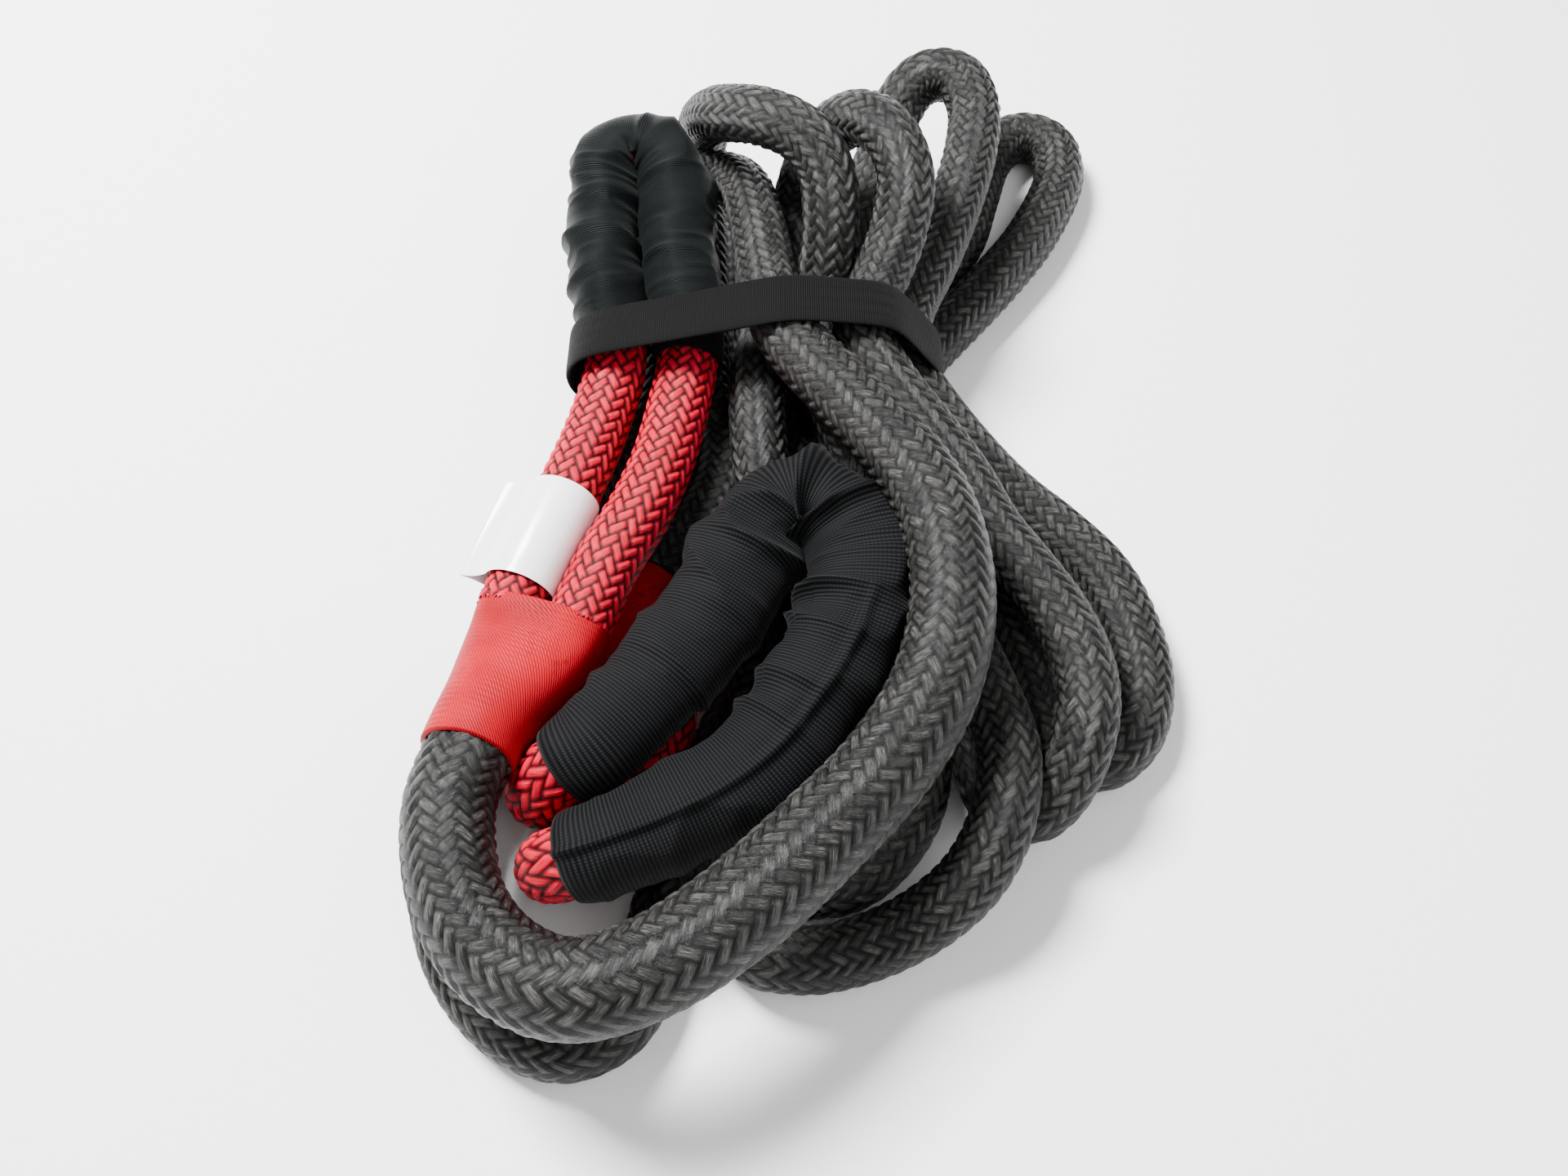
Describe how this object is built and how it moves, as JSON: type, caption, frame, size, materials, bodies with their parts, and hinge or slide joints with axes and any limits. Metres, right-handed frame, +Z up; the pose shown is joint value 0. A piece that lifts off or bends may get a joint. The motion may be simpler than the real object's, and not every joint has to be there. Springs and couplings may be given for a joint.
{
  "type": "kinetic recovery rope",
  "caption": "Braided nylon kinetic recovery rope with coated, sleeved eyes spliced at its ends, folded in a loose hank and tied with a webbing strap.",
  "frame": {"origin": "centre of the hank's bounding box, on the ground that it lies on", "axes": "+Z up from the ground, +Y along the hank towards its upper folds and the first eye, +X to the right of the hank seen from above"},
  "size_m": [0.3039, 0.4889, 0.1149],
  "materials": {
    "braided_nylon": "coarse braid, slight sheen",
    "coated_nylon": "braid under a red coating",
    "whipping": "glossy dipped winding",
    "sleeve_fabric": "ribbed nylon",
    "webbing": "ribbed webbing",
    "tag": "smooth coated tape, blank"
  },
  "bodies": {
    "root": {"rope_body": "braided_nylon", "eye_1_rope": "coated_nylon", "eye_2_rope": "coated_nylon", "eye_1_whipping": "whipping", "eye_2_whipping": "whipping", "eye_1_sleeve": "sleeve_fabric", "eye_2_sleeve": "sleeve_fabric", "label_tag": "tag", "tie_strap": "webbing"}
  },
  "joints": []
}
